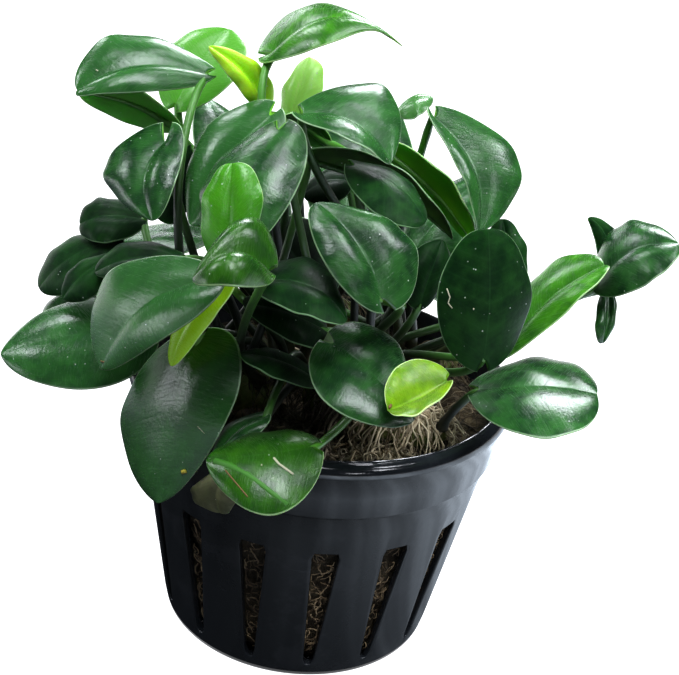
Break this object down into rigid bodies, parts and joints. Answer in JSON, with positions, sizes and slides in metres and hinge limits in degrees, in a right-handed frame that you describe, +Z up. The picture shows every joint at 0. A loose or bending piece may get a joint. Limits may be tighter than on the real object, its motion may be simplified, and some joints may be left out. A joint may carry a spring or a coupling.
{
  "type": "potted aquarium plant",
  "caption": "Small potted anubias: glossy egg-shaped leaves on thin stalks rise from creeping rhizomes on a rockwool plug in a slotted net pot that stands on its flat base.",
  "frame": {"origin": "centre of the pot's flat base", "axes": "+Z up along the pot's axis; the side that the picture shows faces -Y, +X to its right"},
  "size_m": [0.0866, 0.0802, 0.09],
  "materials": {
    "pot_plastic": "glossy black plastic, moulded",
    "rockwool": "rough brown-green mineral fibre",
    "rhizome": "satin green-brown skin with leaf scars",
    "leaf_mature": "glossy dark green leaf with a paler underside",
    "leaf_half_grown": "glossy mid-green leaf",
    "leaf_young": "satin lime-green young leaf",
    "leaf_dried": "dull olive-brown dried leaf"
  },
  "bodies": {
    "root": {"dried_leaf": "leaf_dried", "leaf_back_centre": "leaf_mature", "leaf_back_left_high": "leaf_mature", "leaf_back_left_low": "leaf_mature", "leaf_back_middle_high": "leaf_mature", "leaf_back_middle_low": "leaf_mature", "leaf_back_right_high": "leaf_mature", "leaf_back_right_low": "leaf_mature", "leaf_bright_upright": "leaf_half_grown", "leaf_centre_below": "leaf_mature", "leaf_centre_dim": "leaf_mature", "leaf_centre_heart": "leaf_mature", "leaf_centre_left_back": "leaf_mature", "leaf_centre_left_big": "leaf_mature", "leaf_centre_low": "leaf_mature", "leaf_centre_narrow": "leaf_mature", "leaf_centre_right": "leaf_mature", "leaf_curled": "leaf_half_grown", "leaf_far_left": "leaf_mature", "leaf_far_right": "leaf_mature", "leaf_far_right_small": "leaf_mature", "leaf_far_right_spike": "leaf_mature", "leaf_front_low": "leaf_half_grown", "leaf_left_big": "leaf_mature", "leaf_left_dark": "leaf_mature", "leaf_left_gloss": "leaf_mature", "leaf_left_inner": "leaf_mature", "leaf_left_lime": "leaf_young", "leaf_left_round": "leaf_mature", "leaf_left_upper_dark": "leaf_mature", "leaf_lime_cup": "leaf_young", "leaf_low_left_behind": "leaf_mature", "leaf_low_left_big": "leaf_mature", "leaf_right_behind": "leaf_mature", "leaf_right_edge_on": "leaf_mature", "leaf_right_folded": "leaf_half_grown", "leaf_right_long": "leaf_mature", "leaf_right_low": "leaf_mature", "leaf_right_pendant": "leaf_mature", "leaf_right_round": "leaf_mature", "leaf_right_side_low": "leaf_mature", "leaf_right_underside": "leaf_half_grown", "leaf_top_arched": "leaf_half_grown", "leaf_top_left": "leaf_mature", "leaf_top_left_under": "leaf_half_grown", "leaf_top_pale": "leaf_half_grown", "leaf_top_right": "leaf_mature", "leaf_top_rolled": "leaf_young", "leaf_top_small": "leaf_young", "leaf_top_under": "leaf_half_grown", "leaf_upper_inner": "leaf_mature", "leaf_upper_left_back": "leaf_mature", "leaf_upper_left_heart": "leaf_mature", "leaf_upper_middle": "leaf_mature", "net_pot": "pot_plastic", "rhizome_back": "rhizome", "rhizome_front": "rhizome", "rhizome_left": "rhizome", "rhizome_right": "rhizome", "rockwool": "rockwool"}
  },
  "joints": []
}
